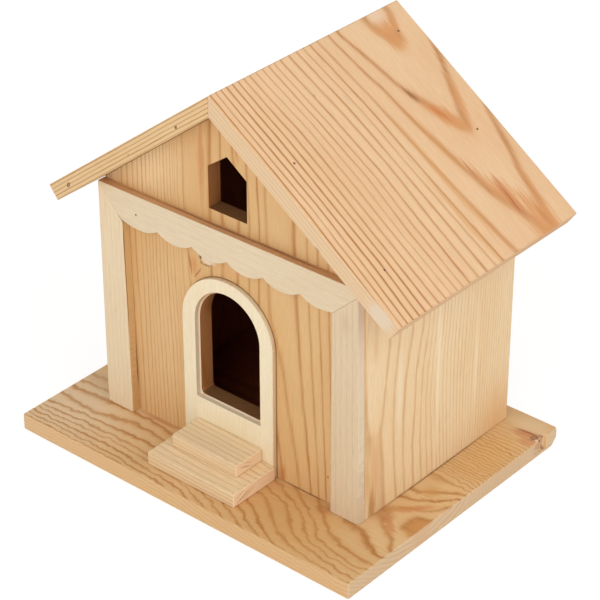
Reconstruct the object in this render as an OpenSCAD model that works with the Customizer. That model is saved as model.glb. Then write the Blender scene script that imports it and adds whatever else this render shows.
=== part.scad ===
// Parrot nest box: a small pine house on a wide base board, with an arched
// doorway, an attic window, a scalloped fascia and two steps.
// Origin: the middle of the base board's underside. The door looks along -Y.

/* [Base board] */

// Width of the base board, left to right
base_width = 259.3; // [240:0.1:320]
// Depth of the base board, front to back
base_depth = 200.9; // [195:0.1:260]
// Thickness of the base board
base_thickness = 11.1; // [8:0.1:16]
// Radius of the rounded front left corner
front_corner_radius = 1.5; // [0.5:0.1:9]
// Radius of the rounded back right corner
back_corner_radius = 2.5; // [0.5:0.1:9]
// Clear base in front of the front wall
porch_depth = 51.2; // [48:0.1:60]
// Width of the broken knot in the right edge
knot_width = 13; // [8:0.5:20]
// How far the broken knot bites into the right edge at its back end
knot_depth = 2.8; // [1.5:0.1:6]
// Height of the broken knot, from the top face down
knot_height = 8.3; // [3:0.1:10]
// Middle of the knot, behind the middle of the base
knot_setback = 82.5; // [40:0.5:85]
// Reach of the chip along the three edges of the lower back right corner
corner_chip = 6; // [1:0.1:7.5]

/* [Walls] */

// Width of the body over the side walls
body_width = 199.2; // [185:0.2:220]
// Depth of the body over the front and back walls
body_depth = 137.8; // [110:0.2:145]
// Thickness of the four wall boards
wall_thickness = 10.6; // [8:0.2:14]

/* [Roof] */

// Height of the ridge above the base board
ridge_height = 246.3; // [240:0.1:275]
// Slope of the left panel in degrees
left_pitch = 37.7; // [35:0.1:38.5]
// Slope of the right panel in degrees
right_pitch = 35; // [33:0.1:37]
// Thickness of the roof panels
roof_thickness = 10.6; // [8:0.1:14]
// Reach of the left eave from the ridge, measured level
left_eave_reach = 129.6; // [122:0.1:150]
// Reach of the right eave from the ridge, measured level
right_eave_reach = 134.2; // [122:0.1:150]
// How far the roof stands out in front of the front wall
front_overhang = 17.1; // [12:0.1:30]
// Length of the roof, front to back
roof_length = 164.5; // [160:0.1:180]

/* [Corner posts and fascia] */

// Thickness of the corner posts and the fascia
trim_thickness = 6.1; // [4:0.1:9]
// Width of the corner posts at the foot
post_width = 20.9; // [16:0.1:24]
// How much narrower the left post is at its inner mitre corner
left_post_taper = 2.1; // [0:0.1:3]
// How far the right post's outer edge leans in at its top
right_post_lean = 2.2; // [0:0.1:3]
// Gap between the fascia's upper left corner and the roof panel above it
fascia_drop = 0.7; // [0.2:0.1:3]
// Depth of the fascia at the lowest point of a scallop
fascia_depth = 22.5; // [21:0.1:25]
// How far the fascia rises to the right, in degrees
fascia_tilt = 0.5; // [0:0.1:0.8]
// Number of scallops
scallop_count = 6; // [5:1:8]
// Rise from the bottom of a scallop to the point between two
scallop_rise = 4.2; // [2:0.1:4.5]
// Distance from the fascia's left end to the first scallop
first_scallop = 19.6; // [19:0.1:24]
// Distance from the last scallop to the right end of the body
last_scallop = 17.1; // [16:0.1:24]
// Slope of the left mitre in degrees
left_mitre_slope = 49; // [45:0.1:49.5]
// Slope of the right mitre in degrees
right_mitre_slope = 43; // [41:0.1:45]
// Distance of the right mitre's start below the fascia's top edge
right_mitre_drop = 2.6; // [0:0.1:4]
// Opening of the left mitre at its inner end
mitre_gap = 1.0; // [0.2:0.1:1.6]
// Part of the left mitre that has opened
mitre_gap_share = 0.25; // [0.1:0.05:0.8]

/* [Doorway] */

// How far the doorway and the window sit left of the middle
door_offset = 2.4; // [0:0.1:8]
// Width of the opening in the flat arched board
doorway_width = 50.2; // [42:0.2:56]
// Height of that opening's sill above the base board
doorway_sill = 33.3; // [26:0.1:40]
// Height of the top of its arch above the base board
doorway_top = 112.8; // [100:0.2:114]
// Ledge of wall that shows inside that opening
doorway_ledge = 1.3; // [0.4:0.1:3]
// Radius of the wall opening's two lower corners
doorway_corner_radius = 3; // [1:0.5:6]
// Width of the flat arched board around the doorway
surround_width = 70.4; // [66:0.2:78]
// Height of that board above the base board
surround_height = 121.3; // [118:0.1:124]
// Thickness of that board
surround_thickness = 3; // [2:0.1:5]

/* [Attic window] */

// Width of the window
window_width = 28.9; // [20:0.1:36]
// Height of the window's sill above the fascia
window_sill_gap = 8.8; // [4:0.1:12]
// Height of the window's upright sides
window_side_height = 27; // [18:0.5:30]
// Rise of the window's pointed top above its sides
window_point_rise = 10.4; // [6:0.1:12]

/* [Steps] */

// Width of the lower step
lower_step_width = 68.4; // [60:0.2:90]
// Depth of the lower step
lower_step_depth = 37.1; // [34:0.1:44]
// Height of the lower step
lower_step_height = 9.3; // [7:0.1:12]
// Width of the upper step
upper_step_width = 50.9; // [44:0.1:56]
// Depth of the upper step
upper_step_depth = 23.4; // [18:0.1:30]
// Height of the upper step
upper_step_height = 8.7; // [7:0.1:12]
// How far the upper step sits left of the lower one
upper_step_offset = 1.2; // [0:0.1:2]

/* [Hidden] */

// Room for glue between the roof panels and the sawn tops of the walls
roof_glue_gap = 0.2;
// How far a cutting shape runs past the wood that it cuts
cut_past = 1;

front_y = -base_depth / 2 + porch_depth;
back_y = front_y + body_depth;
body_half = body_width / 2;
inner_half = body_half - wall_thickness;
floor_z = base_thickness;
ridge_z = floor_z + ridge_height;
roof_front_y = front_y - front_overhang;

left_roof_drop = roof_thickness / cos(left_pitch);
right_roof_drop = roof_thickness / cos(right_pitch);

fascia_top_z = left_underside_z(body_half) - fascia_drop;
fascia_bottom_z = fascia_top_z - fascia_depth;
fascia_right = body_half - right_post_lean;
left_post_top_width = post_width - left_post_taper;
scallops_left = -body_half + first_scallop;
scallop_width = (body_width - first_scallop - last_scallop) / scallop_count;
scallop_radius = (pow(scallop_width / 2, 2) + pow(scallop_rise, 2)) / (2 * scallop_rise);
first_middle = scallops_left + scallop_width / 2;
last_middle = scallops_left + (scallop_count - 0.5) * scallop_width;
right_mitre_z = fascia_top_z + body_width * tan(fascia_tilt) - right_mitre_drop;
trim_front_y = front_y - trim_thickness;

door_x = -door_offset;
surround_front_y = front_y - surround_thickness;
doorway_sill_z = floor_z + doorway_sill;
doorway_arch_z = floor_z + doorway_top - doorway_width / 2;
surround_arch_z = floor_z + surround_height - surround_width / 2;
window_sill_z = fascia_top_z + window_sill_gap;

$fn = 96;

wall_colour = [0.80, 0.60, 0.38];
roof_colour = [0.86, 0.66, 0.45];
trim_colour = [0.88, 0.80, 0.64];
surround_colour = [0.92, 0.85, 0.66];
base_colour = [0.78, 0.58, 0.36];

// Height of the roof panels' undersides at a distance from the ridge
function left_underside_z(x) = ridge_z - left_roof_drop - x * tan(left_pitch);
function right_underside_z(x) = ridge_z - right_roof_drop - x * tan(right_pitch);

// A point on the left or the right mitre, at a distance in from the side of the body
function left_mitre(inset) = [-body_half + inset, fascia_top_z - inset * tan(left_mitre_slope)];
function right_mitre(inset) = [body_half - inset, right_mitre_z - inset * tan(right_mitre_slope)];

// An outline in X and Z, given its thickness from y_near towards the back
module upright(y_near, thickness) {
    translate([0, y_near + thickness, 0])
        rotate([90, 0, 0])
            linear_extrude(height = thickness)
                children();
}

// A round bar along Y
module bar_along_y(x, z, radius, y_near, length) {
    translate([x, y_near, z])
        rotate([-90, 0, 0])
            cylinder(r = radius, h = length);
}

// The waste outside one rounded corner of the base, which turns with the angle
module corner_waste(x, y, angle, radius) {
    translate([x, y, -cut_past])
        rotate([0, 0, angle])
            difference() {
                translate([-cut_past, -cut_past, 0])
                    cube([radius + cut_past, radius + cut_past, base_thickness + 2 * cut_past]);
                translate([radius, radius, -cut_past])
                    cylinder(r = radius, h = base_thickness + 4 * cut_past);
            }
}

// A round-topped door shape: an upright block under a bar of the same width
module arched_block(width, bottom_z, arch_z, y_near, thickness) {
    translate([door_x - width / 2, y_near, bottom_z])
        cube([width, thickness, arch_z - bottom_z]);
    bar_along_y(door_x, arch_z, width / 2, y_near, thickness);
}

// The wall's doorway as the shape that is sawn out, with its two rounded lower corners
module doorway_cut(y_near, thickness) {
    width = doorway_width - 2 * doorway_ledge;
    sill_z = doorway_sill_z + doorway_ledge;
    radius = doorway_corner_radius;
    difference() {
        arched_block(width, sill_z, doorway_arch_z, y_near, thickness);
        for (side = [-1, 1])
            difference() {
                translate([door_x + side * (width - radius) / 2 - radius / 2,
                           y_near - cut_past, sill_z])
                    cube([radius, thickness + 2 * cut_past, radius]);
                bar_along_y(door_x + side * (width / 2 - radius), sill_z + radius, radius,
                            y_near - 2 * cut_past, thickness + 4 * cut_past);
            }
    }
}

// The little house-shaped window
module window_outline() {
    half = window_width / 2;
    shoulder_z = window_sill_z + window_side_height;
    polygon([[door_x - half, window_sill_z], [door_x + half, window_sill_z],
             [door_x + half, shoulder_z], [door_x, shoulder_z + window_point_rise],
             [door_x - half, shoulder_z]]);
}

// The gable wall between the side walls, sawn to both slopes of the roof
module gable_outline() {
    polygon([[-inner_half, floor_z], [inner_half, floor_z],
             [inner_half, right_underside_z(inner_half) - roof_glue_gap],
             [0, right_underside_z(0) - roof_glue_gap],
             [0, left_underside_z(0) - roof_glue_gap],
             [-inner_half, left_underside_z(inner_half) - roof_glue_gap]]);
}

// The broken knot: a notch that deepens towards the back and ends in a steep wall
module broken_knot() {
    back_end = knot_setback + knot_width / 2;
    edge = base_width / 2;
    translate([0, 0, base_thickness - knot_height])
        linear_extrude(height = knot_height + cut_past)
            polygon([[edge, knot_setback - knot_width / 2], [edge + cut_past, back_end],
                     [edge - knot_depth, back_end]]);
}

// The chip: a flat slanting break that meets the corner's three edges at the same reach
module chipped_corner() {
    block = 4 * corner_chip;
    translate([base_width / 2, base_depth / 2, 0])
        rotate([0, -atan(sqrt(2)), 45])
            translate([-block / 2, -block / 2, corner_chip / sqrt(3) - block])
                cube(block);
}

module base_board() {
    color(base_colour)
        difference() {
            translate([-base_width / 2, -base_depth / 2, 0])
                cube([base_width, base_depth, base_thickness]);
            corner_waste(-base_width / 2, -base_depth / 2, 0, front_corner_radius);
            corner_waste(base_width / 2, base_depth / 2, 180, back_corner_radius);
            broken_knot();
            chipped_corner();
        }
}

module front_wall() {
    color(wall_colour)
        difference() {
            upright(front_y, wall_thickness) gable_outline();
            doorway_cut(front_y - cut_past, wall_thickness + 2 * cut_past);
            upright(front_y - cut_past, wall_thickness + 2 * cut_past) window_outline();
        }
}

module back_wall() {
    color(wall_colour)
        upright(back_y - wall_thickness, wall_thickness) gable_outline();
}

module left_wall() {
    color(wall_colour)
        upright(front_y, body_depth)
            polygon([[-body_half, floor_z], [-inner_half, floor_z],
                     [-inner_half, left_underside_z(inner_half) - roof_glue_gap],
                     [-body_half, left_underside_z(body_half) - roof_glue_gap]]);
}

module right_wall() {
    color(wall_colour)
        upright(front_y, body_depth)
            polygon([[body_half, floor_z], [body_half, right_underside_z(body_half) - roof_glue_gap],
                     [inner_half, right_underside_z(inner_half) - roof_glue_gap],
                     [inner_half, floor_z]]);
}

// A roof panel from the upright joint at the ridge to an eave cut square to the slope
module roof_panel(side, pitch, reach) {
    color(roof_colour)
        upright(roof_front_y, roof_length)
            polygon([[0, ridge_z], [side * reach, ridge_z - reach * tan(pitch)],
                     [side * (reach - roof_thickness * sin(pitch)),
                      ridge_z - reach * tan(pitch) - roof_thickness * cos(pitch)],
                     [0, ridge_z - roof_thickness / cos(pitch)]]);
}

module left_roof_panel() {
    roof_panel(-1, left_pitch, left_eave_reach);
}

module right_roof_panel() {
    roof_panel(1, right_pitch, right_eave_reach);
}

// The left post, which narrows towards its mitre
module left_corner_post() {
    color(trim_colour)
        upright(trim_front_y, trim_thickness)
            polygon([[-body_half, floor_z], left_mitre(0), left_mitre(left_post_top_width),
                     [-body_half + post_width, floor_z]]);
}

// The right post, whose outer edge leans in towards its mitre
module right_corner_post() {
    color(trim_colour)
        upright(trim_front_y, trim_thickness)
            polygon([[body_half, floor_z], right_mitre(right_post_lean), right_mitre(post_width),
                     [body_half - post_width, floor_z]]);
}

// A shape that is sawn out of the fascia, given its outline in X and Z
module trim_cut(points) {
    upright(trim_front_y - cut_past, trim_thickness + 2 * cut_past)
        polygon(points);
}

// The strip along the fascia's lower edge that the scallops are sawn from
module scallop_strip(x_start, x_end) {
    z_start = fascia_bottom_z - cut_past;
    z_end = fascia_bottom_z + scallop_rise + cut_past / 2;
    trim_cut([[x_start, z_start], [x_end, z_start], [x_end, z_end], [x_start, z_end]]);
}

// The round belly of a scallop
module scallop_belly(x, radius) {
    bar_along_y(x, fascia_bottom_z + radius, radius, trim_front_y - 2 * cut_past,
                trim_thickness + 4 * cut_past);
}

// What is sawn away between the scallops; the outer halves of the two end scallops are
// flatter than the others
module scallop_waste() {
    difference() {
        scallop_strip(first_middle, last_middle);
        for (index = [0 : scallop_count - 1])
            scallop_belly(first_middle + index * scallop_width, scallop_radius);
    }
    difference() {
        scallop_strip(-body_half - cut_past, first_middle);
        scallop_belly(first_middle, 2 * scallop_radius);
    }
    difference() {
        scallop_strip(last_middle, body_half + cut_past);
        scallop_belly(last_middle, 2 * scallop_radius);
    }
}

// The scalloped board before its mitres are sawn, out of level by the tilt
module tilted_scallop_board() {
    translate([-body_half, 0, fascia_top_z])
        rotate([0, -fascia_tilt, 0])
            translate([body_half, 0, -fascia_top_z])
                difference() {
                    translate([-body_half, trim_front_y, fascia_bottom_z])
                        cube([fascia_right + body_half, trim_thickness, fascia_depth]);
                    scallop_waste();
                }
}

module scalloped_fascia() {
    reach = 1.2 * fascia_depth;
    opened = left_post_top_width * mitre_gap_share;
    gap_start = left_post_top_width - opened;
    gap_end = mitre_gap / sin(left_mitre_slope) * (reach - gap_start) / opened;
    color(trim_colour)
        difference() {
            tilted_scallop_board();
            // The waste outside each mitre
            trim_cut([left_mitre(-cut_past), left_mitre(reach),
                      [-body_half - cut_past, left_mitre(reach).y]]);
            trim_cut([right_mitre(-cut_past), right_mitre(reach),
                      [body_half + cut_past, right_mitre(reach).y]]);
            // The left mitre has opened towards its inner end
            trim_cut([left_mitre(gap_start), left_mitre(reach),
                      left_mitre(reach) + [gap_end, 0]]);
        }
}

module door_surround() {
    color(surround_colour)
        difference() {
            arched_block(surround_width, floor_z, surround_arch_z, surround_front_y,
                         surround_thickness);
            arched_block(doorway_width, doorway_sill_z, doorway_arch_z,
                         surround_front_y - cut_past, surround_thickness + 2 * cut_past);
        }
}

module lower_step() {
    color(roof_colour)
        translate([-lower_step_width / 2, surround_front_y - lower_step_depth, floor_z])
            cube([lower_step_width, lower_step_depth, lower_step_height]);
}

module upper_step() {
    color(roof_colour)
        translate([-upper_step_width / 2 - upper_step_offset, surround_front_y - upper_step_depth,
                   floor_z + lower_step_height])
            cube([upper_step_width, upper_step_depth, upper_step_height]);
}

base_board();
front_wall();
back_wall();
left_wall();
right_wall();
left_roof_panel();
right_roof_panel();
left_corner_post();
right_corner_post();
scalloped_fascia();
door_surround();
lower_step();
upper_step();
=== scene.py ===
"""Looks of the parrot nest box: sawn pine boards with growth rings, nails, floor, lights and camera."""

import math
from functools import partialmethod

import bpy
import numpy as np
from mathutils import Matrix, Vector


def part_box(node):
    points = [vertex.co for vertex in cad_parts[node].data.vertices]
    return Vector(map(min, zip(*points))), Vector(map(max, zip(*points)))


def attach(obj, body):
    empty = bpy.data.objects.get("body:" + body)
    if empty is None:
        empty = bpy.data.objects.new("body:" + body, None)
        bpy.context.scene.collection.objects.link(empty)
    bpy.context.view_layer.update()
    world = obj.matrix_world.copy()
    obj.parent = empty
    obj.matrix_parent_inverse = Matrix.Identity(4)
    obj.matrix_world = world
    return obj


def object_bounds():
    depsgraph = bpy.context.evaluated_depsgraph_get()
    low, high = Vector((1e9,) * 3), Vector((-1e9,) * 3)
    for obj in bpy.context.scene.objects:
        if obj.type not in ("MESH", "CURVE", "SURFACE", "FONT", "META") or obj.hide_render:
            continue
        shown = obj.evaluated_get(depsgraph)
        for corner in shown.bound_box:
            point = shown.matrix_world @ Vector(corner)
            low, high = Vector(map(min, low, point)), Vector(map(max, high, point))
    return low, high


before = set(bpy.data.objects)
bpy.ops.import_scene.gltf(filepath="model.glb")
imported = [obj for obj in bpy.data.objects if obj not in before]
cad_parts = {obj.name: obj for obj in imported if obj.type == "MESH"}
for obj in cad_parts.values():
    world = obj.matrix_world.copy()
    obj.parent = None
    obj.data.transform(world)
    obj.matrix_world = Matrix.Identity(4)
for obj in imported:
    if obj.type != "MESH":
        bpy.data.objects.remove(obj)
cad_low, cad_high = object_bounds()

MM = 0.001
scene = bpy.context.scene

# Where the main boards lie, read from the frame

wall_low, wall_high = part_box("front_wall")
side_low, side_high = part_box("right_wall")
roof_low, roof_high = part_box("right_roof_panel")
left_roof_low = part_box("left_roof_panel")[0]
post_low, post_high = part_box("left_corner_post")
fascia_low, fascia_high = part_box("scalloped_fascia")
surround_low, surround_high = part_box("door_surround")

FLOOR_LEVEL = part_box("base_board")[0].z
FRONT_Y = wall_low.y
RIDGE_Z = roof_high.z
ROOF_FRONT_Y = roof_low.y
WALL = 10.6 * MM
RIGHT_PITCH = math.radians(35.0)
LEFT_PITCH = math.radians(37.7)


def srgb(red, green, blue):
    """A colour as it looks on a screen, 0 to 255 a channel, in the light values that shaders use."""
    shares = [channel / 255 for channel in (red, green, blue)]
    light = [share / 12.92 if share <= 0.04 else ((share + 0.055) / 1.055) ** 2.4 for share in shares]
    return (*light, 1.0)


# Shader nodes


class Wiring:
    """Adds nodes to one tree and joins them, so that a pattern can be written as a formula."""

    # Places of the colour sockets on a Mix node
    COLOUR_A, COLOUR_B, COLOUR_RESULT = 6, 7, 2

    def __init__(self, tree):
        self.tree = tree

    def put(self, socket, value):
        """Joins a socket to an input or sets the input's own value; None leaves it as it is."""
        if isinstance(value, bpy.types.NodeSocket):
            self.tree.links.new(value, socket)
        elif value is not None:
            socket.default_value = value

    def node(self, kind, *inputs, **settings):
        """A new node with its settings, and numbers, colours or sockets for its first inputs."""
        made = self.tree.nodes.new(kind)
        for name, value in settings.items():
            setattr(made, name, value)
        for socket, value in zip(made.inputs, inputs):
            self.put(socket, value)
        return made

    def maths(self, operation, *inputs, clamp=False):
        return self.node("ShaderNodeMath", *inputs, operation=operation, use_clamp=clamp).outputs[0]

    plus = partialmethod(maths, "ADD")
    minus = partialmethod(maths, "SUBTRACT")
    times = partialmethod(maths, "MULTIPLY")
    times_plus = partialmethod(maths, "MULTIPLY_ADD")

    def vector(self, operation, *inputs):
        made = self.node("ShaderNodeVectorMath", *inputs, operation=operation)
        return made.outputs["Value" if operation in ("DOT_PRODUCT", "LENGTH") else "Vector"]

    def split(self, vector):
        return self.node("ShaderNodeSeparateXYZ", vector).outputs

    def join(self, x, y, z):
        return self.node("ShaderNodeCombineXYZ", x, y, z).outputs[0]

    def noise(self, vector, scale, detail, roughness):
        inputs = (vector, None, scale, detail, roughness)
        return self.node("ShaderNodeTexNoise", *inputs, noise_dimensions="3D").outputs["Fac"]

    def grain_noise(self, board, pattern, through_seed, across_seed=0.0):
        """Noise on a board, stretched along its fibres by a pattern's two scales."""
        across, along, through = board
        scale_across, scale_along, detail, roughness = pattern
        stretched = self.join(
            self.times_plus(across, scale_across, across_seed),
            self.times(along, scale_along),
            self.times_plus(through, scale_across, through_seed),
        )
        return self.noise(stretched, 1.0, detail, roughness)

    def random(self, value):
        made = self.node("ShaderNodeTexWhiteNoise", None, value, noise_dimensions="1D")
        return made.outputs["Value"]

    def spread(self, value, low, high, to_low=0.0, to_high=1.0, smooth=False):
        kind = "SMOOTHSTEP" if smooth else "LINEAR"
        inputs = (value, low, high, to_low, to_high)
        return self.node("ShaderNodeMapRange", *inputs, interpolation_type=kind, clamp=True).outputs[0]

    def curve(self, value, stops):
        """A ramp of grey: stops are pairs of place and height."""
        made = self.node("ShaderNodeValToRGB", value)
        ramp = made.color_ramp
        while len(ramp.elements) < len(stops):
            ramp.elements.new(0.5)
        for element, (place, height) in zip(ramp.elements, stops):
            element.position = place
            element.color = (height, height, height, 1)
        return made.outputs[0]

    def blend(self, factor, a, b, kind="MIX"):
        made = self.node("ShaderNodeMix", factor, data_type="RGBA", blend_type=kind)
        self.put(made.inputs[self.COLOUR_A], a)
        self.put(made.inputs[self.COLOUR_B], b)
        return made.outputs[self.COLOUR_RESULT]

    def group(self, tree, **values):
        made = self.node("ShaderNodeGroup", node_tree=tree)
        for name, value in values.items():
            self.put(made.inputs[name.replace("_", " ")], value)
        return made.outputs


# The default of a group's input that takes a point
POINT = (0.0, 0.0, 0.0)


def new_group(name, outputs, **inputs):
    """An empty shader group with named sockets: outputs and their kinds, inputs and their defaults."""
    tree = bpy.data.node_groups.new(name, "ShaderNodeTree")
    for label, default in inputs.items():
        kind = "Float" if isinstance(default, float) else "Vector" if default == POINT else "Color"
        label = label.replace("_", " ")
        socket = tree.interface.new_socket(label, in_out="INPUT", socket_type="NodeSocket" + kind)
        socket.default_value = default
    for label, kind in outputs.items():
        tree.interface.new_socket(label, in_out="OUTPUT", socket_type="NodeSocket" + kind)
    wiring = Wiring(tree)
    given = wiring.node("NodeGroupInput").outputs
    result = wiring.node("NodeGroupOutput").inputs
    return tree, wiring, given, result


# How the colour changes within a growth ring, with the whole number of the count at 0.5
LATE_WOOD_STOPS = [(0.0, 0.0), (0.18, 0.0), (0.32, 0.25), (0.43, 0.85), (0.5, 1.0), (0.57, 0.8),
                   (0.66, 0.15), (0.72, 0.0)]
DARK_LINE_STOPS = [(0.0, 0.0), (0.36, 0.0), (0.45, 0.6), (0.5, 1.0), (0.55, 0.7), (0.62, 0.0)]

# Noise on a board: waves a millimetre across and along it, detail, roughness
SLOW_BENDS = (0.014, 0.014, 1.0, 0.4)
RIPPLES = (0.05, 0.045, 1.0, 0.4)
FRAYED_EDGES = (0.8, 0.10, 2.0, 0.5)
WAVES = (0.11, 0.13, 2.0, 0.55)
FIBRES = (1.1, 0.03, 4.0, 0.62)
FADING_LINES = (0.16, 0.022, 1.0, 0.5)
CLOUDS = (0.022, 0.009, 2.0, 0.5)
PORES = (3.2, 0.11, 3.0, 0.6)
FLECKS = (1.5, 0.20, 1.0, 0.5)

# How far the fine noise moves the rings, in millimetres
FRAYING = 0.6
# How strongly each part of the pattern shows in colour, in roughness and in height
CLOUD_SHARE = 0.6
END_GRAIN_SHADE = 0.08
PORE_ROUGHNESS = (0.66, 0.54)
END_GRAIN_ROUGHNESS = 0.2
LATE_WOOD_SHINE = 0.06
LATE_WOOD_HEIGHT, PORE_HEIGHT, FLECK_HEIGHT = 0.5, 0.9, -0.8


def make_fibre_group():
    """A board point moved about a little, so that growth rings bend and fray.

    Slow noise bends the rings sideways, finer noise ripples them, and long thin streaks shift the
    pattern along the grain, which frays the tips of the arches and leaves straight lines whole.
    """
    tree, w, given, result = new_group(
        "Fibres", {"Bent Point": "Vector", "Fibres": "Float"}, Board_Point=POINT, Bend=2.0, Ripple=0.5,
        Waves=0.0, Streak_Length=25.0, Seed=0.0,
    )
    board = w.split(given["Board Point"])
    across, along, through = board
    seed = given["Seed"]

    def shift(pattern):
        return w.minus(w.grain_noise(board, pattern, seed, seed), 0.5)

    fibres = w.grain_noise(board, FIBRES, seed, seed)
    sideways = w.times(shift(SLOW_BENDS), given["Bend"])
    sideways = w.times_plus(shift(RIPPLES), given["Ripple"], sideways)
    sideways = w.times_plus(shift(FRAYED_EDGES), FRAYING, sideways)
    sideways = w.times_plus(shift(WAVES), given["Waves"], sideways)
    streak = w.times(w.minus(fibres, 0.5), given["Streak Length"])
    bent = w.join(w.plus(across, sideways), w.plus(along, streak), through)
    w.put(result["Bent Point"], bent)
    w.put(result["Fibres"], fibres)
    return tree


def make_pine_group():
    """Colour, roughness and height of sawn pine, from the ring count and the fibres.

    Towards each whole number of the count the wood goes slowly from pale to orange to brown, and
    behind it it turns pale again soon. Each ring has its own strength, which also changes along
    it. End grain, where the face lies across the fibres, is darker and rougher.
    """
    tree, w, given, result = new_group(
        "Sawn pine", {"Color": "Color", "Roughness": "Float", "Height": "Float"}, Board_Point=POINT,
        Rings=0.0, Fibres=0.5, End_Grain=0.0, Pale_Wood=srgb(236, 204, 160),
        Warm_Wood=srgb(222, 170, 116), Late_Wood=srgb(214, 150, 90), Dark_Line=srgb(176, 112, 60),
        Line_Strength=1.0, Line_Width=1.0, Seed=0.0,
    )
    board = w.split(given["Board Point"])
    seed = given["Seed"]
    turned = w.plus(given["Rings"], 0.5)
    ring = w.maths("FLOOR", turned)
    off_line = w.minus(w.maths("FRACT", turned), 0.5)
    place = w.plus(w.maths("DIVIDE", off_line, given["Line Width"]), 0.5, clamp=True)
    ring_strength = w.spread(w.random(w.plus(ring, seed)), 0.0, 1.0, 0.6, 1.1)
    along_strength = w.spread(w.grain_noise(board, FADING_LINES, seed), 0.35, 0.65, 0.72, 1.12)
    fibre_strength = w.spread(given["Fibres"], 0.3, 0.7, 0.72, 1.15)
    strength = w.times(w.times(ring_strength, fibre_strength), along_strength)
    strength = w.times(strength, given["Line Strength"])
    late = w.curve(place, LATE_WOOD_STOPS)
    late = w.times(late, strength, clamp=True)
    line = w.curve(place, DARK_LINE_STOPS)
    line = w.times(line, strength, clamp=True)
    cloud = w.grain_noise(board, CLOUDS, seed)
    cloud = w.spread(cloud, 0.35, 0.68, 0.0, CLOUD_SHARE, smooth=True)
    colour = w.blend(cloud, given["Pale Wood"], given["Warm Wood"])
    colour = w.blend(late, colour, given["Late Wood"])
    colour = w.blend(line, colour, given["Dark Line"])
    pores = w.grain_noise(board, PORES, seed)
    streak = w.spread(pores, 0.35, 0.65, 0.93, 1.045)
    slow_streak = w.spread(given["Fibres"], 0.3, 0.7, 0.95, 1.04)
    tone = w.times(streak, slow_streak)
    flecks = w.spread(w.grain_noise(board, FLECKS, seed), 0.70, 0.78, 0.0, 0.3, smooth=True)
    flecks = w.times(flecks, w.spread(late, 0.0, 0.6, 0.2, 1.0))
    tone = w.times(tone, w.minus(1.0, flecks))
    end_shade = w.minus(1.0, w.times(given["End Grain"], END_GRAIN_SHADE))
    tone = w.times(tone, end_shade)
    colour = w.blend(1.0, colour, w.join(tone, tone, tone), "MULTIPLY")
    w.put(result["Color"], colour)
    end_rough = w.times(given["End Grain"], END_GRAIN_ROUGHNESS)
    rough = w.plus(w.spread(pores, 0.3, 0.7, *PORE_ROUGHNESS), end_rough)
    w.put(result["Roughness"], w.minus(rough, w.times(late, LATE_WOOD_SHINE)))
    height = w.times_plus(late, LATE_WOOD_HEIGHT, w.times(pores, PORE_HEIGHT))
    w.put(result["Height"], w.times_plus(flecks, FLECK_HEIGHT, height))
    return tree


def make_spot_group():
    """A soft-edged oval, turned by an angle and ragged along the fibres, for knots, resin, stains and
    lines of painted shade.
    """
    tree, w, given, result = new_group(
        "Spot", {"Mask": "Float"}, First=0.0, Second=0.0, Fibres=0.5, Middle_First=0.0, Middle_Second=0.0,
        Half_First=5.0, Half_Second=10.0, Turn=0.0, Raggedness=0.5, Softness=0.5,
    )
    first = w.minus(given["First"], given["Middle First"])
    second = w.minus(given["Second"], given["Middle Second"])
    cosine = w.maths("COSINE", given["Turn"])
    sine = w.maths("SINE", given["Turn"])
    a = w.plus(w.times(first, cosine), w.times(second, sine))
    b = w.minus(w.times(second, cosine), w.times(first, sine))
    a = w.maths("DIVIDE", a, given["Half First"])
    b = w.maths("DIVIDE", b, given["Half Second"])
    reach = w.maths("SQRT", w.plus(w.times(a, a), w.times(b, b)))
    ragged = w.times(w.minus(given["Fibres"], 0.5), given["Raggedness"])
    reach = w.plus(reach, ragged)
    inner = w.minus(1.0, given["Softness"])
    w.put(result["Mask"], w.spread(reach, inner, 1.0, 1.0, 0.0, smooth=True))
    return tree


def make_wear_group():
    """Where a board's edges are handled and worn: close to an edge, by an uneven width."""
    tree, w, given, result = new_group(
        "Edge wear", {"Mask": "Float"}, Board_Point=POINT, Width=100.0, Length=100.0, Reach=1.2, Seed=0.0,
    )
    across, along, _ = w.split(given["Board Point"])
    far_side = w.maths("MINIMUM", across, w.minus(given["Width"], across))
    far_end = w.maths("MINIMUM", along, w.minus(given["Length"], along))
    distance = w.maths("ABSOLUTE", w.maths("MINIMUM", far_side, far_end))
    uneven = w.noise(w.vector("ADD", given["Board Point"], given["Seed"]), 0.35, 3.0, 0.6)
    width = w.times(given["Reach"], w.spread(uneven, 0.35, 0.7, 0.1, 1.6))
    w.put(result["Mask"], w.spread(w.maths("DIVIDE", distance, width), 0.3, 1.0, 1.0, 0.0, smooth=True))
    return tree


def make_arch_group():
    """The distance of a wall point from the outline of an arched door shape, negative inside it."""
    tree, w, given, result = new_group(
        "Arch outline", {"Distance": "Float"}, Board_Point=POINT, Middle=0.0, Arch_Height=0.0,
        Radius=25.0,
    )
    across, along, _ = w.split(given["Board Point"])
    sideways = w.minus(across, given["Middle"])
    upwards = w.maths("MAXIMUM", w.minus(along, given["Arch Height"]), 0.0)
    reach = w.vector("LENGTH", w.join(sideways, upwards, 0.0))
    w.put(result["Distance"], w.minus(reach, given["Radius"]))
    return tree


fibre_group = make_fibre_group()
pine_group = make_pine_group()
spot_group = make_spot_group()
wear_group = make_wear_group()
arch_group = make_arch_group()


def start_material(name):
    """A new material, the wiring of its nodes and its shader."""
    material = bpy.data.materials.new(name)
    material.use_nodes = True
    w = Wiring(material.node_tree)
    shader = material.node_tree.nodes["Principled BSDF"]
    return material, w, shader


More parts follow.
